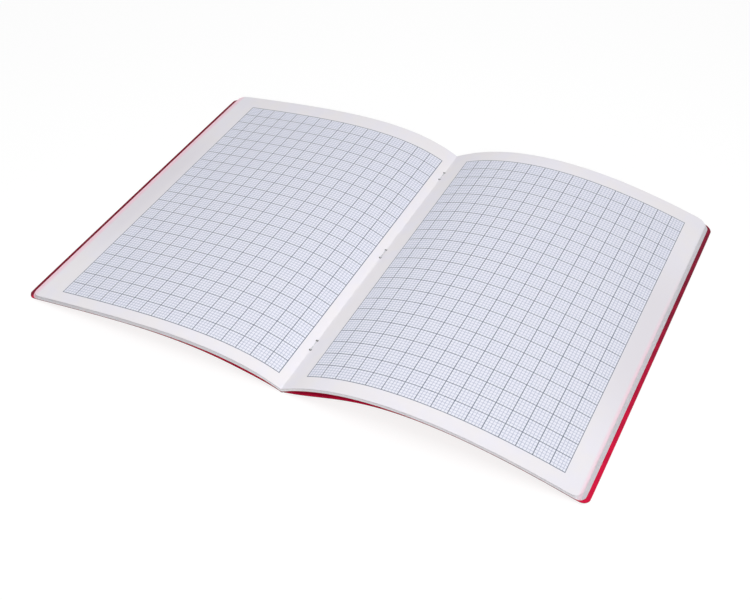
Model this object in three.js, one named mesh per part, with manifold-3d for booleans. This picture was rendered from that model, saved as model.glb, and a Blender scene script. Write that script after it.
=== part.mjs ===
// A stapled notebook lying open at its centre spread on a table.
// Sixteen sheets are nested and folded into thirty-two leaves, inside one sheet of red card, and three
// wire staples hold them through the fold. Both halves arch up out of the fold and come down again to
// their outer edges, so the leaves are thin bent sheets that lie on each other like the layers of an arch.
// Millimetres, +Z up, +X towards the right-hand page, +Y towards the head of the page.
// The origin is the middle of the card fold, where it rests on the table.
import * as THREE from "three";
import { mergeVertices } from "three/addons/utils/BufferGeometryUtils.js";
import Module from "manifold-3d";

const wasm = await Module();
wasm.setup();

// The page and the sheets
const PAGE_WIDTH = 186; // innermost leaf, fold to fore-edge
const PAGE_HEIGHT = 241;
const SHEETS = 16;
const PAPER_THICKNESS = 0.1;
const PAPER_AIR = 0.015; // air between two leaves at the fold
const SHEET_CREEP = 0.2; // how much further each sheet reaches than the one inside it
const CORNER_RADIUS = 5.5;

// The card cover
const CARD_THICKNESS = 0.35;
const COVER_OVERHANG = 2.4; // card past the lowest leaf
const COVER_AIR = 0.1; // air between the card and the lowest leaf
const SPINE_FLAT = 0.5; // half-width of the flat under the card fold
const SPINE_HALF_WIDTH = 1; // half-width of the card fold, out to its two creases
const SPINE_RISE = 0.45; // how far the card fold turns up at its creases
const CREASE_GAP = 0.1; // between a cover panel and the card fold
const SPINE_AIR = 0.1; // between the card fold and the lowest sheet's fold

// The staples
const WIRE_DIAMETER = 0.5;
const WIRE_CLEARANCE = 0.05;
const STAPLE_WIDTH = 8;
const STAPLE_PITCH = 89;
const STAPLE_SHIFT = 6; // the middle staple's place along Y
const STAPLE_NAMES = ["staple_bottom", "staple_middle", "staple_top"];
const CLINCH_GAP = 1.2; // between the tips of a staple's two legs
const BEND_RADIUS = 0.5; // at the wire's centre line
const WIRE_SIDES = 8;
const BEND_STEPS = 4;

// How each half lies: its slope at the fold, the length over which the slope settles, how much air the
// leaves take up away from the fold, and how far the card bows away from them beside the fold.
const LEFT = {
  name: "left",
  sign: -1,
  gutterAngle: 31,
  settleLength: 45,
  looseAir: 0.085,
  bowDepth: 0.2,
};
const RIGHT = {
  name: "right",
  sign: 1,
  gutterAngle: 32.4,
  settleLength: 109,
  looseAir: 0.03,
  bowDepth: 2,
};
const LOOSE_LENGTH = 30; // from the fold to where the leaves lie loosest
const BOW_LENGTH = 85; // from the fold to where the card meets the leaves again

// Facets of a bent sheet
const SHEET_STEPS = 20;
const STEP_GROWTH = 1.35; // above 1 the steps are shorter near the fold, where the bend is tighter
const CORNER_STEPS = 5;
const CURVE_STEP = 0.5; // length of a step when the slope is summed

const PAPER = new THREE.MeshStandardMaterial({
  color: 0xe9e5ea,
  roughness: 0.85,
  metalness: 0,
});
const RED_CARD = new THREE.MeshStandardMaterial({
  color: 0xc8193a,
  roughness: 0.5,
  metalness: 0,
});
const STEEL = new THREE.MeshStandardMaterial({
  color: 0xb9bcc2,
  roughness: 0.35,
  metalness: 1,
});

const LEAF_PITCH = PAPER_THICKNESS + PAPER_AIR;
const FOLD_GAP = WIRE_DIAMETER / 2 + WIRE_CLEARANCE; // leaves stop this far from the middle plane
const STACK_DEPTH = (SHEETS - 1) * LEAF_PITCH + PAPER_THICKNESS;
const STEEPEST = THREE.MathUtils.degToRad(
  Math.max(LEFT.gutterAngle, RIGHT.gutterAngle),
);
// Where the top faces of the two innermost leaves would meet
const FOLD_Z = CARD_THICKNESS + SPINE_AIR + STACK_DEPTH / Math.cos(STEEPEST);
// The leaves turn round the clinched wire, so its centre line is also the axis of their hinges.
const HINGE_Z = FOLD_Z + (WIRE_DIAMETER / 2 + 2 * WIRE_CLEARANCE) / Math.cos(STEEPEST);
const COVER_LENGTH = PAGE_WIDTH + SHEETS * SHEET_CREEP + COVER_OVERHANG;

// The depth of a leaf's top face below the innermost leaf's top face, at a length from the fold
function leafDepth(half, index, length) {
  const loose = THREE.MathUtils.smoothstep(length, 0, LOOSE_LENGTH);
  return index * (LEAF_PITCH + half.looseAir * loose);
}

// The same for the top face of the cover, with its bow away from the leaves
function coverDepth(half, length) {
  const lowestLeaf = leafDepth(half, SHEETS - 1, length) + PAPER_THICKNESS;
  const along = THREE.MathUtils.clamp(length / BOW_LENGTH, 0, 1);
  const bow = Math.sin(Math.PI * Math.sqrt(along)) ** 2;
  return lowestLeaf + COVER_AIR + half.bowDepth * bow;
}

// A point of the innermost leaf's top face and its slope, at a length from the fold. The slope falls
// from the gutter angle towards the rest angle, and the face runs on straight inside the fold.
function pageCurve(half, restAngle, length) {
  const gutter = THREE.MathUtils.degToRad(half.gutterAngle);
  if (length <= 0) {
    return {
      x: length * Math.cos(gutter),
      z: FOLD_Z + length * Math.sin(gutter),
      slope: gutter,
    };
  }
  const slopeAt = (s) =>
    restAngle + (gutter - restAngle) * Math.exp(-s / half.settleLength);
  const steps = Math.ceil(length / CURVE_STEP);
  const step = length / steps;
  let x = 0;
  let z = FOLD_Z;
  for (let i = 0; i < steps; i++) {
    const slope = slopeAt((i + 0.5) * step);
    x += Math.cos(slope) * step;
    z += Math.sin(slope) * step;
  }
  return { x, z, slope: slopeAt(length) };
}

// The point at a depth below the page curve
function below(curvePoint, depth) {
  return {
    x: curvePoint.x + depth * Math.sin(curvePoint.slope),
    z: curvePoint.z - depth * Math.cos(curvePoint.slope),
  };
}

// The rest angle that brings the cover's outer edge down onto the table
function settledRestAngle(half) {
  let low = THREE.MathUtils.degToRad(-60);
  let high = 0;
  for (let i = 0; i < 40; i++) {
    const middle = (low + high) / 2;
    const edge = pageCurve(half, middle, COVER_LENGTH);
    const depth = coverDepth(half, COVER_LENGTH) + CARD_THICKNESS;
    if (below(edge, depth).z > 0) high = middle;
    else low = middle;
  }
  return high;
}

// The length at which a face at a depth starts, a distance from the middle plane
function startLength(half, distance, depth) {
  const gutter = THREE.MathUtils.degToRad(half.gutterAngle);
  return (distance - depth * Math.sin(gutter)) / Math.cos(gutter);
}

// Stations along a sheet. All sheets share those before their corners, so that their facets stay
// parallel, and each has its own round its corners.
function stationLengths(start, end) {
  const sharedEnd = PAGE_WIDTH - 2 * CORNER_RADIUS;
  const lengths = [start];
  for (let i = 1; i <= SHEET_STEPS; i++) {
    lengths.push(sharedEnd * (i / SHEET_STEPS) ** STEP_GROWTH);
  }
  for (let i = 0; i <= CORNER_STEPS; i++) {
    const turn = ((i / CORNER_STEPS) * Math.PI) / 2;
    lengths.push(end - CORNER_RADIUS * (1 - Math.sin(turn)));
  }
  return lengths;
}

// How far the head and tail edges of a sheet draw in at a length, round its outer corners
function cornerInset(length, end) {
  const into = length - (end - CORNER_RADIUS);
  if (into <= 0) return 0;
  const cornerEdge = 0.2; // keeps a short straight edge, so that the outer end is a face
  const reach = Math.min(into, CORNER_RADIUS - cornerEdge);
  return CORNER_RADIUS - Math.sqrt(CORNER_RADIUS ** 2 - reach ** 2);
}

// A thin sheet bent along X and straight along Y, as one closed body
function bentSheet(half, restAngle, { fromMiddle, end, topDepth, thickness }) {
  const start = startLength(half, fromMiddle, topDepth(0));
  const positions = [];
  const lengths = stationLengths(start, end);
  for (const length of lengths) {
    const edgeY = PAGE_HEIGHT / 2 - cornerInset(length, end);
    for (const extra of [0, thickness]) {
      const depth = topDepth(length) + extra;
      // The inner end is an upright cut, so each of its faces starts at its own length.
      const own = length === start ? startLength(half, fromMiddle, depth) : length;
      const point = below(pageCurve(half, restAngle, own), depth);
      positions.push(half.sign * point.x, -edgeY, point.z);
      positions.push(half.sign * point.x, edgeY, point.z);
    }
  }
  // Each station has four corners: top front, top back, bottom front, bottom back.
  const quads = [[0, 1, 3, 2]];
  for (let i = 0; i + 1 < lengths.length; i++) {
    const a = 4 * i;
    const b = a + 4;
    quads.push([a, b, b + 1, a + 1]);
    quads.push([a + 2, a + 3, b + 3, b + 2]);
    quads.push([a, a + 2, b + 2, b]);
    quads.push([a + 1, b + 1, b + 3, a + 3]);
  }
  const last = 4 * (lengths.length - 1);
  quads.push([last, last + 2, last + 3, last + 1]);
  const index = [];
  for (const [a, b, c, d] of quads) {
    if (half.sign > 0) index.push(a, b, c, a, c, d);
    else index.push(a, c, b, a, d, c);
  }
  return closedGeometry(positions, index);
}

function closedGeometry(positions, index) {
  const geometry = new THREE.BufferGeometry();
  geometry.setAttribute("position", new THREE.Float32BufferAttribute(positions, 3));
  geometry.setIndex(index);
  geometry.computeVertexNormals();
  return geometry;
}

function named(name, geometry, material) {
  const mesh = new THREE.Mesh(geometry, material);
  mesh.name = name;
  return mesh;
}

// One half of the notebook: its cover panel and its leaves, counted from the centre spread outwards.
// The sheets were cut flush with the notebook closed, so those further out reach further when it is open.
function buildHalf(half, coverName) {
  const group = new THREE.Group();
  const restAngle = settledRestAngle(half);
  for (let i = 0; i < SHEETS; i++) {
    const leaf = bentSheet(half, restAngle, {
      fromMiddle: FOLD_GAP,
      end: PAGE_WIDTH + i * SHEET_CREEP,
      topDepth: (length) => leafDepth(half, i, length),
      thickness: PAPER_THICKNESS,
    });
    const number = String(i + 1).padStart(2, "0");
    group.add(named(`${half.name}_leaf_${number}`, leaf, PAPER));
  }
  const panel = bentSheet(half, restAngle, {
    fromMiddle: SPINE_HALF_WIDTH + CREASE_GAP,
    end: COVER_LENGTH,
    topDepth: (length) => coverDepth(half, length),
    thickness: CARD_THICKNESS,
  });
  group.add(named(coverName, panel, RED_CARD));
  return group;
}

function toManifold(geometry) {
  const bare = geometry.clone();
  bare.deleteAttribute("normal");
  bare.deleteAttribute("uv");
  const merged = mergeVertices(bare, 1e-4);
  return new wasm.Manifold(
    new wasm.Mesh({
      numProp: 3,
      vertProperties: merged.attributes.position.array,
      triVerts: new Uint32Array(merged.index.array),
    }),
  );
}

function fromManifold(solid) {
  const mesh = solid.getMesh();
  return closedGeometry(mesh.vertProperties, Array.from(mesh.triVerts));
}

const STAPLE_PLACES = STAPLE_NAMES.map((_, i) => STAPLE_SHIFT + (i - 1) * STAPLE_PITCH);

// The fold of the card between the two panels: flat underneath, turned up at its creases, and with a
// slot pressed in for each crown
function buildCardFold() {
  const section = new THREE.Shape([
    new THREE.Vector2(-SPINE_HALF_WIDTH, SPINE_RISE),
    new THREE.Vector2(-SPINE_FLAT, 0),
    new THREE.Vector2(SPINE_FLAT, 0),
    new THREE.Vector2(SPINE_HALF_WIDTH, SPINE_RISE),
    new THREE.Vector2(SPINE_HALF_WIDTH, SPINE_RISE + CARD_THICKNESS),
    new THREE.Vector2(SPINE_FLAT, CARD_THICKNESS),
    new THREE.Vector2(-SPINE_FLAT, CARD_THICKNESS),
    new THREE.Vector2(-SPINE_HALF_WIDTH, SPINE_RISE + CARD_THICKNESS),
  ]);
  const strip = new THREE.ExtrudeGeometry(section, { depth: PAGE_HEIGHT, bevelEnabled: false });
  strip.rotateX(Math.PI / 2);
  strip.translate(0, PAGE_HEIGHT / 2, 0);
  let fold = toManifold(strip);
  const slotLength = STAPLE_WIDTH + WIRE_DIAMETER + 2 * WIRE_CLEARANCE;
  for (const place of STAPLE_PLACES) {
    const slot = new THREE.BoxGeometry(2 * FOLD_GAP, slotLength, 3 * CARD_THICKNESS);
    slot.translate(0, place, CARD_THICKNESS / 2);
    fold = fold.subtract(toManifold(slot));
  }
  return named("cover_spine", fromManifold(fold), RED_CARD);
}

// The centre line of a staple, from one clinched tip down a leg, along the crown and back, in its own
// Y-Z plane. Each corner is rounded by a quarter turn.
function stapleLine() {
  const crownZ = WIRE_DIAMETER / 2 + WIRE_CLEARANCE;
  const halfWidth = STAPLE_WIDTH / 2;
  const corners = [
    { y: -halfWidth, z: HINGE_Z, from: 90, to: 180 },
    { y: -halfWidth, z: crownZ, from: 180, to: 270 },
    { y: halfWidth, z: crownZ, from: 270, to: 360 },
    { y: halfWidth, z: HINGE_Z, from: 0, to: 90 },
  ];
  const points = [{ y: -CLINCH_GAP / 2, z: HINGE_Z, turn: 90 }];
  for (const { y, z, from, to } of corners) {
    const centreY = y - Math.sign(y) * BEND_RADIUS;
    const centreZ = z + (z === HINGE_Z ? -BEND_RADIUS : BEND_RADIUS);
    for (let i = 0; i <= BEND_STEPS; i++) {
      const turn = from + ((to - from) * i) / BEND_STEPS;
      const angle = THREE.MathUtils.degToRad(turn);
      points.push({
        y: centreY + BEND_RADIUS * Math.cos(angle),
        z: centreZ + BEND_RADIUS * Math.sin(angle),
        turn,
      });
    }
  }
  points.push({ y: CLINCH_GAP / 2, z: HINGE_Z, turn: 90 });
  return points;
}

// Round wire along that line: a ring of points at each place, joined to the next, and two flat ends
function buildStaple(name, place) {
  const line = stapleLine();
  const positions = [];
  for (const { y, z, turn } of line) {
    const outward = THREE.MathUtils.degToRad(turn);
    for (let k = 0; k < WIRE_SIDES; k++) {
      const angle = ((k + 0.5) / WIRE_SIDES) * 2 * Math.PI;
      const out = (WIRE_DIAMETER / 2) * Math.cos(angle);
      const side = (WIRE_DIAMETER / 2) * Math.sin(angle);
      positions.push(side, y + out * Math.cos(outward), z + out * Math.sin(outward));
    }
  }
  const index = [];
  for (let i = 0; i + 1 < line.length; i++) {
    for (let k = 0; k < WIRE_SIDES; k++) {
      const a = i * WIRE_SIDES + k;
      const b = i * WIRE_SIDES + ((k + 1) % WIRE_SIDES);
      index.push(a, b + WIRE_SIDES, b, a, a + WIRE_SIDES, b + WIRE_SIDES);
    }
  }
  const end = (line.length - 1) * WIRE_SIDES;
  for (let k = 1; k + 1 < WIRE_SIDES; k++) {
    index.push(0, k, k + 1);
    index.push(end, end + k + 1, end + k);
  }
  const staple = named(name, closedGeometry(positions, index), STEEL);
  staple.position.y = place;
  return staple;
}

const notebook = new THREE.Group();
notebook.add(buildHalf(LEFT, "front_cover"));
notebook.add(buildHalf(RIGHT, "back_cover"));
notebook.add(buildCardFold());
STAPLE_NAMES.forEach((name, i) => notebook.add(buildStaple(name, STAPLE_PLACES[i])));

export default notebook;
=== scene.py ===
import math

import bpy
from mathutils import Euler, Matrix


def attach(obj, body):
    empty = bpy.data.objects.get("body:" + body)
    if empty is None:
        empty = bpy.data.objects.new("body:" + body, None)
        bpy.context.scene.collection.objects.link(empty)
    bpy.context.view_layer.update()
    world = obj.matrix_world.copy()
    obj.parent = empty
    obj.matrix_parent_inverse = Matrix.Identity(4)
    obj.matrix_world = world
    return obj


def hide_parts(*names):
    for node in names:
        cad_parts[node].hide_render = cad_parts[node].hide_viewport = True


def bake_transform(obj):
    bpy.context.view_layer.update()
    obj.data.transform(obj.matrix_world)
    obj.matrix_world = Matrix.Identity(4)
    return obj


# A thin stapled notebook of graph paper in a red card cover, open at its middle on a white table. It is put
# together here as it is in a bindery: the printed sheets, the card round them and the staples through the
# fold. Metres, +X towards the right-hand page, +Y towards the head, +Z up.
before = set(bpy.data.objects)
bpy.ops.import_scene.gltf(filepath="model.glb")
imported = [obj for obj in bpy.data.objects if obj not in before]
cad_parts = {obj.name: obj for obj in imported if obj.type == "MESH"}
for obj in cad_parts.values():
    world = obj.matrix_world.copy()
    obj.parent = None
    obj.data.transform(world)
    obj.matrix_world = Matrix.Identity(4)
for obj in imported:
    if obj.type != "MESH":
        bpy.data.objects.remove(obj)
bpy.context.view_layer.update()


# The sixteen printed sheets: white uncoated paper, each folded once and laid into the next. Every sheet is
# the joined copy of its two bent leaves, smoothed, with its page ruled in squares on both faces. The two
# innermost sheets are two leaves each, because each of those leaves turns by itself.
SHEETS = 16
TURNING_LEAVES = {1: "top_leaf", 2: "second_leaf"}  # by sheet, and how their bodies' names end
PAGE_WIDTH = 0.186
FOLD_REACH = 0.0004  # a leaf's inner end lies nearer to the middle plane than this
LIP = 0.00029  # how far a turning leaf is drawn out towards the fold
SHADOW_LINE_SHEETS = (2, 3, 4)  # their cut edges all round are painted dark, as the shadow line under the top leaf

SQUARE = 0.010
SQUARES_ACROSS = 16
SQUARES_UP = 22
LEFT_INNER_MARGIN = 0.0066  # from the fold to the ruling
RIGHT_INNER_MARGIN = 0.0140
LEFT_FOOT_MARGIN = 0.0083
RIGHT_FOOT_MARGIN = 0.0099
FINE_STEP = 0.2  # between two fine lines, in squares
FINE_LINE = 0.010  # half-widths, in squares
BOLD_LINE = 0.018
INK_SPREAD = 0.015  # over which a line fades into the paper, in squares

STAPLE_WIDTH = 0.008
STAPLE_PITCH = 0.089
STAPLE_SHIFT = 0.006
HOLE_RADIUS = 0.0005
HOLE_END = 0.0009  # the painted shade round a hole fades out here

GREY_FROM = 0.1859  # along a sheet, where it comes out from under the innermost one; past it the paper has painted shade on the right and painted red light on the left
GREY_TO = 0.1865
SIDE_CHANGE = 0.1  # the left page's painted light and shade give way to the right page's between minus this and this
MARGIN_SHADE_FROM = 0.150  # along a sheet the painted shade on the outer margin grows between these two
MARGIN_SHADE_TO = 0.180
MARGIN_SHADE_FULL = 0.02  # up and down from the middle of the height it fades away between these two
MARGIN_SHADE_END = 0.10
RED_LIGHT_FULL = 0.0005  # the painted red light from the card fades out between this and the next, in from the left fore-edge, and half as far in from the right one
RED_LIGHT_END = 0.005
RIGHT_RED_LIGHT = 0.7  # the share of the painted red light at the foot of the right page
RIGHT_RED_LIGHT_FROM = -0.03  # up the page it fades away between these two
RIGHT_RED_LIGHT_TO = 0.09

PAPER_WHITE = (0.785, 0.768, 0.825, 1)
PAPER_WARM = (0.80, 0.775, 0.80, 1)
PAPER_SHADED = (0.62, 0.605, 0.64, 1)
PAPER_RED_LIGHT = (0.86, 0.58, 0.67, 1)  # painted red light, reflected from the card onto the paper by the fore-edges
PAPER_MARGIN_SHADE = (0.715, 0.69, 0.735, 1)  # painted shade on the outer margins, halfway up the page
PAPER_TINTED = (0.765, 0.780, 0.875, 1)  # between the lines, where their blue has spread
TINT_SHARE = 0.8
WORN_INK = 0.75  # the share of ink that is left where it is thinnest
FINE_INK = (0.40, 0.425, 0.55, 1)
BOLD_INK = (0.09, 0.115, 0.165, 1)
# painted shade in the holes where the staples' legs go through
HOLE_SHADE = (0.10, 0.095, 0.10, 1)
# painted light: the remaining cut edges of each half have their own tones, set for how light falls on that
# half
RIGHT_LIGHT_TONES = (0.82, 0.80, 0.83, 1), (0.90, 0.88, 0.90, 1)
LEFT_LIGHT_TONES = (0.84, 0.83, 0.85, 1), (0.92, 0.91, 0.93, 1)
# painted shade on the fore-edges, and on every edge of the sheets under the top leaf
SHADED_CUT_TONES = (0.54, 0.53, 0.55, 1), (0.66, 0.65, 0.67, 1)

CLOUDS = (0.35, 0.65)  # the noise values between which a mottle goes from one tone to the other
SPECKS = (0.3, 0.7)

BROAD = 0.5  # the least part of a face's normal along Z on a sheet's broad sides
FORE_EDGE = 0.7  # and along X on its fore-edges
FOLD_END = 0.9  # and along X on its ends at the fold
MERGE_DISTANCE = 1e-6
FACET_ANGLE = math.radians(2)  # two triangles of one flat facet differ by less than this
ANY_QUAD = math.radians(180)
CORNER_ANGLE = math.radians(50)  # sharper edges stay sharp when a piece is smoothed
SHADING_ANGLE = math.radians(40)
SMOOTHING = 2


def feed(node, name, value):
    """Sets an input of a node to a value, or links what varies over the surface to it."""
    if isinstance(value, Shade):
        value.tree.links.new(value.socket, node.inputs[name])
    else:
        node.inputs[name].default_value = value


class Shade:
    """An output socket of a material. Expressions on it add nodes to the material's tree."""

    def __init__(self, tree, socket=None):
        self.tree = tree
        self.socket = socket

    def node(self, kind, settings=None, inputs=None, out=0):
        made = self.tree.nodes.new(kind)
        for name, value in (settings or {}).items():
            setattr(made, name, value)
        for name, value in (inputs or {}).items():
            feed(made, name, value)
        return Shade(self.tree, made.outputs[out])

    def output(self, name):
        """Another output of the node that this socket is on."""
        return Shade(self.tree, self.socket.node.outputs[name])

    def split(self):
        """The X and the Y of a vector."""
        across = self.node("ShaderNodeSeparateXYZ", {}, {0: self})
        return across, across.output("Y")

    def math(self, operation, *others):
        inputs = dict(enumerate((self, *others)))
        return self.node("ShaderNodeMath", {"operation": operation}, inputs)

    def __add__(self, other):
        return self.math("ADD", other)

    __radd__ = __add__

    def __mul__(self, other):
        return self.math("MULTIPLY", other)

    __rmul__ = __mul__

    def __sub__(self, other):
        return self.math("SUBTRACT", other)

    def __rsub__(self, other):
        return self * -1 + other

    def least(self, other):
        return self.math("MINIMUM", other)

    def most(self, other):
        return self.math("MAXIMUM", other)

    def from_nearest(self, spacing):
        """The distance to the nearest whole multiple of a spacing."""
        return self.math("PINGPONG", spacing / 2)

    def fade(self, start, end, low=0.0, high=1.0):
        """Goes smoothly from low to high as the value goes from start to end."""
        inputs = {"Value": self, "From Min": start, "From Max": end, "To Min": low, "To Max": high}
        return self.node("ShaderNodeMapRange", {"interpolation_type": "SMOOTHSTEP"}, inputs)

    def mix(self, below, above):
        """The colour below where the value is 0, and the colour above where it is 1."""
        settings = {"data_type": "RGBA", "clamp_factor": True}
        return self.node("ShaderNodeMix", settings, {0: self, 6: below, 7: above}, out=2)


def new_material(name):
    """A fresh material: its tree, ready for expressions, and its Principled shader."""
    material = bpy.data.materials.new(name)
    material.use_nodes = True
    return material, Shade(material.node_tree), material.node_tree.nodes["Principled BSDF"]


def place_on(tree):
    """The place of a point of the surface, in metres."""
    return tree.node("ShaderNodeTexCoord", out="Object")


def page_map(tree, name):
    """The two values of one of a sheet's maps."""
    return tree.node("ShaderNodeUVMap", {"uv_map": name}).split()


def noise(tree, scale, detail):
    inputs = {"Vector": place_on(tree), "Scale": scale, "Detail": detail, "Roughness": 0.5}
    return tree.node("ShaderNodeTexNoise", {}, inputs)


def bumped(tree, height, strength, distance):
    inputs = {"Strength": strength, "Distance": distance, "Height": height}
    return tree.node("ShaderNodeBump", {}, inputs)


def bare_paper(tree, from_fold, height, on_right):
    """White paper, faintly cloudy from its fibres. Its outer margins have painted shade halfway up, and
    painted red light reflected from the card close to the fore-edges. Past the innermost sheet it has
    painted shade on the right and the painted red light on the left."""
    white = noise(tree, scale=60, detail=4).fade(*CLOUDS).mix(PAPER_WHITE, PAPER_WARM)
    halfway_up = height.math("ABSOLUTE").fade(MARGIN_SHADE_FULL, MARGIN_SHADE_END, 1.0, 0.0)
    # painted shade on the outer margins, halfway up
    margin_shade = from_fold.fade(MARGIN_SHADE_FROM, MARGIN_SHADE_TO) * halfway_up
    # painted red light reflected from the card, close to the fore-edges
    red_light = ((PAGE_WIDTH - from_fold) * (1 + on_right)).fade(RED_LIGHT_FULL, RED_LIGHT_END, 1.0, 0.0)
    right_share = height.fade(RIGHT_RED_LIGHT_FROM, RIGHT_RED_LIGHT_TO, RIGHT_RED_LIGHT, 0.0)
    red_light = red_light * (1 - on_right + on_right * right_share)
    colour = red_light.mix(margin_shade.mix(white, PAPER_MARGIN_SHADE), PAPER_RED_LIGHT)
    return from_fold.fade(GREY_FROM, GREY_TO).mix(colour, on_right.mix(PAPER_RED_LIGHT, PAPER_SHADED))


def ruled_paper():
    """Paper with squares printed in grey-blue ink, with painted shade in the holes where a staple's leg goes
    through.
    """
    material, tree, shader = new_material("ruled_paper")
    across, up = page_map(tree, "squares")
    nearest_bold = across.from_nearest(1).least(up.from_nearest(1))
    nearest_fine = across.from_nearest(FINE_STEP).least(up.from_nearest(FINE_STEP))
    inside = across.least(SQUARES_ACROSS - across).least(up).least(SQUARES_UP - up)
    inside = inside.fade(-BOLD_LINE - INK_SPREAD, -BOLD_LINE)
    printed = inside * noise(tree, scale=900, detail=3).fade(*SPECKS, WORN_INK, 1.0)
    fine = nearest_fine.fade(FINE_LINE, FINE_LINE + INK_SPREAD, 1.0, 0.0) * printed
    bold = nearest_bold.fade(BOLD_LINE, BOLD_LINE + INK_SPREAD, 1.0, 0.0) * printed
    from_fold, height = page_map(tree, "sheet")
    from_leg = (height - STAPLE_SHIFT).from_nearest(STAPLE_PITCH) - STAPLE_WIDTH / 2
    from_hole = (from_leg * from_leg + from_fold * from_fold).math("SQRT")
    hole = from_hole.fade(HOLE_RADIUS, HOLE_END, 1.0, 0.0)
    on_right = place_on(tree).split()[0].fade(-SIDE_CHANGE, SIDE_CHANGE)
    colour = (inside * TINT_SHARE).mix(bare_paper(tree, from_fold, height, on_right), PAPER_TINTED)
    colour = bold.mix(fine.mix(colour, FINE_INK), BOLD_INK)
    feed(shader, "Base Color", hole.mix(colour, HOLE_SHADE))
    feed(shader, "Roughness", 0.85)
    fibres = noise(tree, scale=2500, detail=3)
    feed(shader, "Normal", bumped(tree, fibres, strength=0.15, distance=0.00004))
    return material


def cut_paper(name, tones):
    """The cut edges of sheets, mottled between two tones."""
    material, tree, shader = new_material(name)
    feed(shader, "Base Color", noise(tree, scale=700, detail=3).fade(*SPECKS).mix(*tones))
    feed(shader, "Roughness", 0.95)
    return material


RULED_PAPER = ruled_paper()
RIGHT_LIGHT_CUT = cut_paper("right_light_cut_paper", RIGHT_LIGHT_TONES)
LEFT_LIGHT_CUT = cut_paper("left_light_cut_paper", LEFT_LIGHT_TONES)
SHADED_CUT = cut_paper("shaded_cut_paper", SHADED_CUT_TONES)
SHEET_FINISHES = (RULED_PAPER, RIGHT_LIGHT_CUT, LEFT_LIGHT_CUT, SHADED_CUT)


def copy_of(name, *nodes):
    """A piece that starts as the merged meshes of CAD nodes, made active, with quads for its flat facets."""
    bpy.ops.object.select_all(action="DESELECT")
    for node in nodes:
        copy = bpy.data.objects.new(name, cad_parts[node].data.copy())
        bpy.context.collection.objects.link(copy)
        copy.select_set(True)
        bpy.context.view_layer.objects.active = copy
    if len(nodes) > 1:
        bpy.ops.object.join()
    piece = bpy.context.view_layer.objects.active
    piece.name = name
    piece.data.name = name
    piece.data.materials.clear()
    bpy.ops.object.mode_set(mode="EDIT")
    bpy.ops.mesh.select_all(action="SELECT")
    bpy.ops.mesh.remove_doubles(threshold=MERGE_DISTANCE)
    bpy.ops.mesh.customdata_custom_splitnormals_clear()
    bpy.ops.mesh.tris_convert_to_quads(face_threshold=FACET_ANGLE, shape_threshold=ANY_QUAD)
    bpy.ops.object.mode_set(mode="OBJECT")
    return piece


def edit_fold_end(piece):
    """Goes to edit mode with the ends at the fold selected, and nothing else."""
    bpy.ops.object.mode_set(mode="EDIT")
    bpy.ops.mesh.select_mode(type="FACE")
    bpy.ops.mesh.select_all(action="DESELECT")
    bpy.ops.object.mode_set(mode="OBJECT")
    for face in piece.data.polygons:
        face.select = abs(face.center.x) < FOLD_REACH and abs(face.normal.x) > FOLD_END
    bpy.ops.object.mode_set(mode="EDIT")


def smooth_out(piece):
    """Rounds a piece. The edges where its faces meet at a real corner are creased, so they stay."""
    bpy.ops.object.mode_set(mode="EDIT")
    bpy.ops.mesh.select_mode(type="EDGE")
    bpy.ops.mesh.select_all(action="DESELECT")
    bpy.ops.mesh.edges_select_sharp(sharpness=CORNER_ANGLE)
    bpy.ops.transform.edge_crease(value=1)
    bpy.ops.object.mode_set(mode="OBJECT")
    smoother = piece.modifiers.new("smooth", "SUBSURF")
    smoother.levels = SMOOTHING
    smoother.render_levels = SMOOTHING
    smoother.uv_smooth = "NONE"
    bpy.ops.object.modifier_apply(modifier="smooth")
    bpy.ops.object.shade_smooth_by_angle(angle=SHADING_ANGLE)


def give_finishes(piece, finishes, finish_for):
    """Gives each face of a piece the one of its materials that the function picks."""
    for material in finishes:
        piece.data.materials.append(material)
    for face in piece.data.polygons:
        face.material_index = finishes.index(finish_for(face))


def is_broad(face):
    """Whether a face lies on one of the broad sides of a sheet, and not on its cut edge."""
    return abs(face.normal.z) > BROAD and abs(face.normal.y) < BROAD


def lengths_along(piece, side):
    """How long the sheet's top face is from the fold out to each of its creases, by their X."""
    strips = [face for face in piece.data.polygons if face.normal.z > BROAD and face.center.x * side > 0]
    strips.sort(key=lambda face: face.center.x * side)
    table = {}
    for strip in strips:
        places = [piece.data.vertices[index].co for index in strip.vertices]
        inner = min(places, key=lambda place: place.x * side)
        outer = max(places, key=lambda place: place.x * side)
        start = table.setdefault(inner.x * side, inner.x * side)
        table[outer.x * side] = start + math.hypot(outer.x - inner.x, outer.z - inner.z)
    return table


def draw_page_maps(piece):
    """Two maps of a sheet: one counts squares from the ruling's inner foot corner, and one measures
    from the fold outwards and from the middle of the height up."""
    foot = min(vertex.co.y for vertex in piece.data.vertices)
    squares = piece.data.uv_layers.new(name="squares")
    sheet = piece.data.uv_layers.new(name="sheet")
    for side, inner_margin, foot_margin in (
        (-1, LEFT_INNER_MARGIN, LEFT_FOOT_MARGIN),
        (1, RIGHT_INNER_MARGIN, RIGHT_FOOT_MARGIN),
    ):
        table = lengths_along(piece, side)
        for loop in piece.data.loops:
            place = piece.data.vertices[loop.vertex_index].co
            if place.x * side > 0:
                nearest = min(table, key=lambda x: abs(x - place.x * side))
                along = table[nearest]
                up = place.y - foot
                squares.data[loop.index].uv = ((along - inner_margin) / SQUARE, (up - foot_margin) / SQUARE)
                sheet.data[loop.index].uv = (along, place.y)


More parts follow.
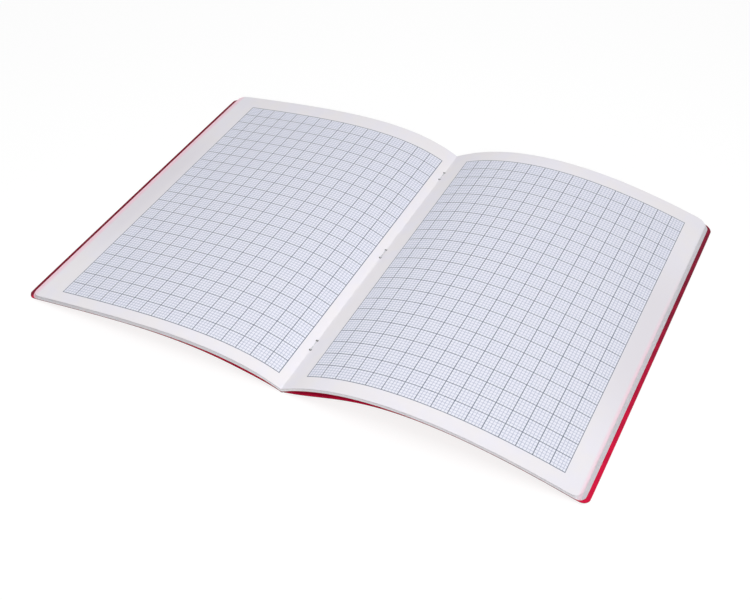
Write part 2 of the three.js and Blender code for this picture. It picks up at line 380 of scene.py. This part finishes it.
def finish_sheet(piece, number):
    """Gives a sheet's broad faces the ruling and its edges bare paper, and smooths it."""

    def finish_for(face):
        if is_broad(face):
            return RULED_PAPER
        # painted shade: the fore-edges and every edge of the sheets under the top leaf take the shaded tone
        if abs(face.normal.x) > FORE_EDGE or number in SHADOW_LINE_SHEETS:
            return SHADED_CUT
        # painted light: each half's remaining edges get the tone set for the light on that half
        return RIGHT_LIGHT_CUT if face.center.x > 0 else LEFT_LIGHT_CUT

    bpy.ops.object.mode_set(mode="OBJECT")
    give_finishes(piece, SHEET_FINISHES, finish_for)
    draw_page_maps(piece)
    smooth_out(piece)


for number in range(1, SHEETS + 1):
    left, right = f"left_leaf_{number:02d}", f"right_leaf_{number:02d}"
    if number in TURNING_LEAVES:
        for side, node, towards_fold in (("left", left, LIP), ("right", right, -LIP)):
            leaf = copy_of(f"{node}_paper", node)
            edit_fold_end(leaf)
            bpy.ops.mesh.extrude_region_move(TRANSFORM_OT_translate={"value": (towards_fold, 0, 0)})
            finish_sheet(leaf, number)
            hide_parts(node)
            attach(leaf, f"{side}_{TURNING_LEAVES[number]}")
    else:
        sheet = copy_of(f"folded_sheet_{number:02d}", left, right)
        edit_fold_end(sheet)
        bpy.ops.mesh.bridge_edge_loops()
        finish_sheet(sheet, number)
        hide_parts(left, right)
        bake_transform(sheet)


# The cover: one sheet of red card, coated, folded round the sheets with a crease on each side of the fold.
# Its two panels are smoothed copies of the CAD panels that bow a little further away from the sheets, and
# the left fore-edge curls up. The strip between the creases bends between the two halves.
CREASE = 0.0011  # a panel's inner edge lies this far from the middle plane
SLACK_LENGTH = 0.110  # from the crease to where the card meets the sheets again
SLACK = 0.0016  # how much further than in the CAD a panel bows away between them
CURL_FROM = 0.1858  # past this the front panel's fore-edge curls up
CURL_TO = 0.1882
CURL_HEIGHT = 0.0007
EDGE_SHADE_FROM = -0.1840  # the band along the left fore-edge that is painted dark, as the shadow of the sheets
EDGE_SHADE_TO = -0.1864
HEAD_SHADE_FROM = -0.12  # painted shade: from foot to head the red deepens between these two
HEAD_SHADE_TO = 0.08
CLOUD_DEPTH = 0.12  # how much deeper or less deep its clouds are
SATIN = (0.42, 0.52)  # the roughness of the coat
CARD_RED = (0.60, 0.004, 0.045, 1)
CARD_DEEP = (0.18, 0.003, 0.022, 1)
CARD_EDGE_SHADE = (0.18, 0.002, 0.018, 1)
CARD_CUT = (0.05, 0.004, 0.008, 1)


def coated_card():
    """Red card with painted shade, deeper towards the head and dark along the left fore-edge, with an uneven
    satin coat.
    """
    material, tree, shader = new_material("coated_red_card")
    across, up = place_on(tree).split()
    cloudy = noise(tree, scale=120, detail=4).fade(*CLOUDS, -CLOUD_DEPTH, CLOUD_DEPTH)
    # painted shade deepening towards the head, with the card's own clouds
    head_shade_and_clouds = up.fade(HEAD_SHADE_FROM, HEAD_SHADE_TO) + cloudy
    # painted shade along the left fore-edge
    edge_shade = across.fade(EDGE_SHADE_TO, EDGE_SHADE_FROM, 1.0, 0.0)
    feed(shader, "Base Color", edge_shade.mix(head_shade_and_clouds.mix(CARD_RED, CARD_DEEP), CARD_EDGE_SHADE))
    feed(shader, "Roughness", noise(tree, scale=300, detail=3).fade(*SPECKS, *SATIN))
    feed(shader, "Specular IOR Level", 0.15)
    grain = noise(tree, scale=1800, detail=2)
    feed(shader, "Normal", bumped(tree, grain, strength=0.12, distance=0.00005))
    return material


def cut_card():
    material, tree, shader = new_material("cut_red_card")
    feed(shader, "Base Color", noise(tree, scale=900, detail=3).fade(*SPECKS).mix(CARD_CUT, CARD_DEEP))
    feed(shader, "Roughness", 0.9)
    feed(shader, "Specular IOR Level", 0.2)
    return material


COATED_CARD = coated_card()
CUT_CARD = cut_card()
CARD_FINISHES = (COATED_CARD, CUT_CARD)

for panel in ("front_cover", "back_cover"):
    card = copy_of(f"{panel}_card", panel)
    bpy.ops.object.mode_set(mode="EDIT")
    bpy.ops.mesh.select_all(action="SELECT")
    bpy.ops.mesh.bisect(plane_co=(-CURL_FROM, 0, 0), plane_no=(1, 0, 0))
    bpy.ops.object.mode_set(mode="OBJECT")
    for vertex in card.data.vertices:
        along = min(max((abs(vertex.co.x) - CREASE) / SLACK_LENGTH, 0), 1)
        vertex.co.z -= SLACK * math.sin(math.pi * math.sqrt(along)) ** 2
        curled = max((-vertex.co.x - CURL_FROM) / (CURL_TO - CURL_FROM), 0)
        vertex.co.z += CURL_HEIGHT * curled**2
    give_finishes(card, CARD_FINISHES, lambda face: COATED_CARD if is_broad(face) else CUT_CARD)
    smooth_out(card)
    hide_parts(panel)
    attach(card, panel)

spine = copy_of("cover_fold", "cover_spine")
give_finishes(spine, CARD_FINISHES, lambda face: CUT_CARD if abs(face.normal.y) > BROAD else COATED_CARD)
bpy.ops.object.shade_smooth_by_angle(angle=SHADING_ANGLE)
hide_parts("cover_spine")
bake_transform(spine)


# The three staples: bright zinc-plated wire, driven through the fold from outside and clinched flat over the
# innermost sheet. Each is a rounded copy of the CAD wire.
WIRE_DULL = (0.50, 0.51, 0.53, 1)
WIRE_BRIGHT = (0.66, 0.67, 0.69, 1)


def plated_wire():
    material, tree, shader = new_material("plated_wire")
    bright = noise(tree, scale=3000, detail=2).fade(*SPECKS)
    feed(shader, "Base Color", bright.mix(WIRE_DULL, WIRE_BRIGHT))
    feed(shader, "Metallic", 1.0)
    feed(shader, "Roughness", 0.32)
    return material


PLATED_WIRE = plated_wire()

for node in ("staple_bottom", "staple_middle", "staple_top"):
    staple = copy_of(f"{node}_wire", node)
    staple.data.materials.append(PLATED_WIRE)
    smooth_out(staple)
    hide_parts(node)
    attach(staple, "right_half")


# The table: a plain white floor. To the camera most of its white is a glow, so the notebook's shadow is
# faint on it, as in a bright studio, and the notebook itself gets no light from that glow. The glow grows
# with the distance, where the lamps no longer reach.
FLOOR_SIZE = 30
FLOOR_DROP = 0.0001
FLOOR_WHITE = (0.85, 0.85, 0.85, 1)
FLOOR_SEEN = (0.20, 0.20, 0.20, 1)
BLACK = (0, 0, 0, 1)
WHITE = (1, 1, 1, 1)
NEAR_GLOW = 0.82
FAR_GLOW = 0.95
GLOW_FROM = 0.8
GLOW_TO = 4

bpy.ops.object.select_all(action="DESELECT")
bpy.ops.mesh.primitive_plane_add(size=FLOOR_SIZE, location=(0, 0, -FLOOR_DROP))
floor = bpy.context.object
floor.name = "table"
bpy.ops.object.transform_apply()
table_top, tree, shader = new_material("white_table")
seen = tree.node("ShaderNodeLightPath", out="Is Camera Ray")
feed(shader, "Base Color", seen.mix(FLOOR_WHITE, FLOOR_SEEN))
distance = tree.node("ShaderNodeVectorMath", {"operation": "LENGTH"}, {0: place_on(tree)}, out="Value")
glow = seen * distance.fade(GLOW_FROM, GLOW_TO, NEAR_GLOW, FAR_GLOW)
feed(shader, "Emission Color", glow.mix(BLACK, WHITE))
feed(shader, "Emission Strength", 1.0)
feed(shader, "Roughness", 0.9)
feed(shader, "Specular IOR Level", 0.0)
floor.data.materials.append(table_top)


# The light: a large soft lamp over the right front, a weaker one from the left, a small one 0.7 metre above
# the front of the right page, and a pale room that the camera and the wire's reflections see as white.
LAMPS = {
    "key_lamp": {"place": (1.9, -1.4, 2.0), "tilt": 50, "heading": 54, "size": 2.0, "watts": 40},
    "fill_lamp": {"place": (-1.2, 0.6, 1.4), "tilt": -44, "heading": 63, "size": 1.5, "watts": 5},
    "top_lamp": {"place": (0.06, -0.17, 0.70), "tilt": 0, "heading": 0, "size": 0.4, "watts": 2.25},
}
ROOM_LIGHT = 0.32
ROOM_SEEN = 1.0

for name, values in LAMPS.items():
    turn = (math.radians(values["tilt"]), 0, math.radians(values["heading"]))
    bpy.ops.object.light_add(type="AREA", location=values["place"], rotation=turn)
    lamp = bpy.context.object
    lamp.name = name
    lamp.data.size = values["size"]
    lamp.data.energy = values["watts"]

world = bpy.data.worlds.new("pale_room")
bpy.context.scene.world = world
world.use_nodes = True
room = Shade(world.node_tree)
rays = room.node("ShaderNodeLightPath", out="Is Camera Ray")
seen_white = rays.most(rays.output("Is Glossy Ray"))
background = world.node_tree.nodes["Background"]
feed(background, "Color", WHITE)
feed(background, "Strength", seen_white.fade(0, 1, ROOM_LIGHT, ROOM_SEEN))


# The camera: off the right front corner, 0.7 metre from the middle of the fold, looking down at 44 degrees.
CAMERA_PLACE = (0.2610, -0.4433, 0.4695)
CAMERA_ELEVATION = math.radians(43.56)
CAMERA_AZIMUTH = math.radians(27.84)
CAMERA_ROLL = math.radians(-2.28)
LENS = 51.79
SENSOR_WIDTH = 36
SHIFT_X = -0.0557
SHIFT_Y = -0.0227
CLIP_START = 0.01
CLIP_END = 100

bpy.ops.object.camera_add(location=CAMERA_PLACE)
camera = bpy.context.object
aim = Euler((math.radians(90) - CAMERA_ELEVATION, 0, CAMERA_AZIMUTH)).to_matrix()
camera.rotation_euler = (aim @ Matrix.Rotation(CAMERA_ROLL, 3, "Z")).to_euler()
camera.data.lens = LENS
camera.data.sensor_width = SENSOR_WIDTH
camera.data.shift_x = SHIFT_X
camera.data.shift_y = SHIFT_Y
camera.data.clip_start = CLIP_START
camera.data.clip_end = CLIP_END
bpy.context.scene.camera = camera
bpy.context.scene.view_settings.view_transform = "Standard"
